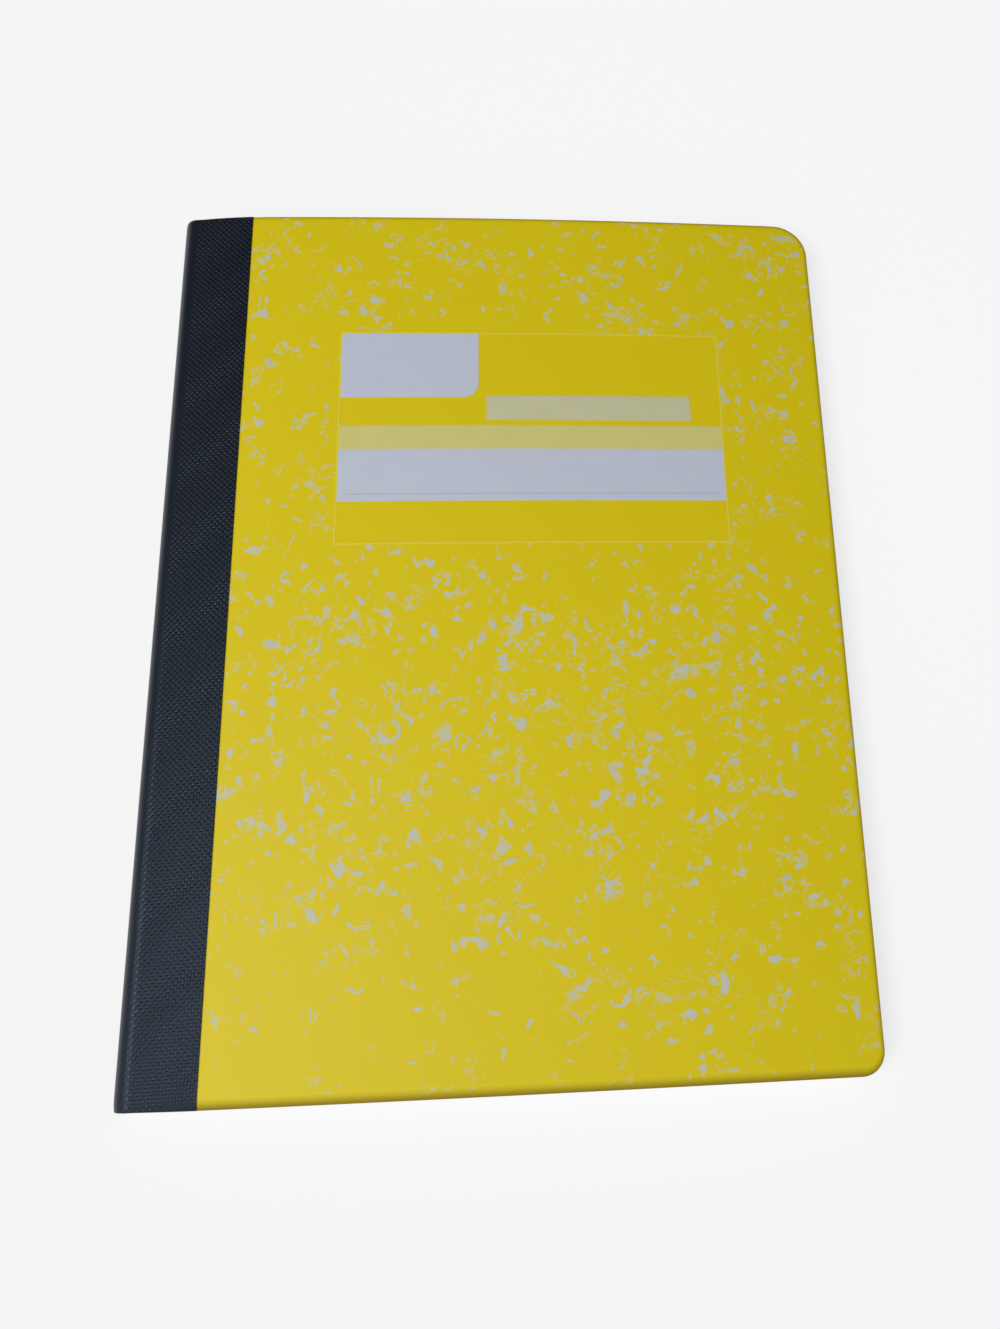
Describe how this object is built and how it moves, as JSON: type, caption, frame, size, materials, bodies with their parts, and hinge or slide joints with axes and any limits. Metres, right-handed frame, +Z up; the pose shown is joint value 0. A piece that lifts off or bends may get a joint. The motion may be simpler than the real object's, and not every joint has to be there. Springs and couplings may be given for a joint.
{
  "type": "composition notebook",
  "caption": "Sewn composition notebook with stiff marbled covers, a cloth-tape spine and rounded fore-edge corners.",
  "frame": {"origin": "middle of the footprint, on the surface that the closed notebook lies on", "axes": "+X from the spine to the fore-edge, +Y up the page to the head, +Z up out of the front cover"},
  "size_m": [0.1905, 0.2476, 0.0129],
  "materials": {
    "page_paper": "matt ruled writing paper",
    "thread": "twisted cotton thread",
    "binding_tape": "dark navy embossed binding cloth, slight sheen",
    "cover_board": "yellow printed board, satin varnish",
    "lining_paper": "plain white lining paper",
    "line_ink": "paler yellow print",
    "pale_ink": "pale lilac-white print",
    "straw_ink": "pale straw-yellow print",
    "writing_ink": "fine grey printed line",
    "marble_ink": "pale marbled print"
  },
  "bodies": {
    "page_body": {"page_block": "page_paper", "sewing_thread": "thread", "spine_tape": "binding_tape"},
    "front_cover": {"front_cover_board": "cover_board", "front_pastedown": "lining_paper", "front_tape_flap": "binding_tape", "label_frame_line": "line_ink", "label_corner_block": "pale_ink", "label_title_bar": "pale_ink", "label_pale_strip": "straw_ink", "label_name_box": "pale_ink", "label_writing_line": "writing_ink", "front_marbling": "marble_ink"},
    "back_cover": {"back_cover_board": "cover_board", "back_pastedown": "lining_paper", "back_tape_flap": "binding_tape", "back_marbling": "marble_ink"}
  },
  "joints": [
    {"name": "front_cover_hinge", "type": "hinge", "parent": "page_body", "child": "front_cover", "pos_m": [-0.09117, 0, 0.00996], "axis": [0, -1, 0], "range_deg": [0, 180]},
    {"name": "back_cover_hinge", "type": "hinge", "parent": "page_body", "child": "back_cover", "pos_m": [-0.09028, 0, -0.0001], "axis": [0, 1, 0], "range_deg": [0, 180]}
  ]
}
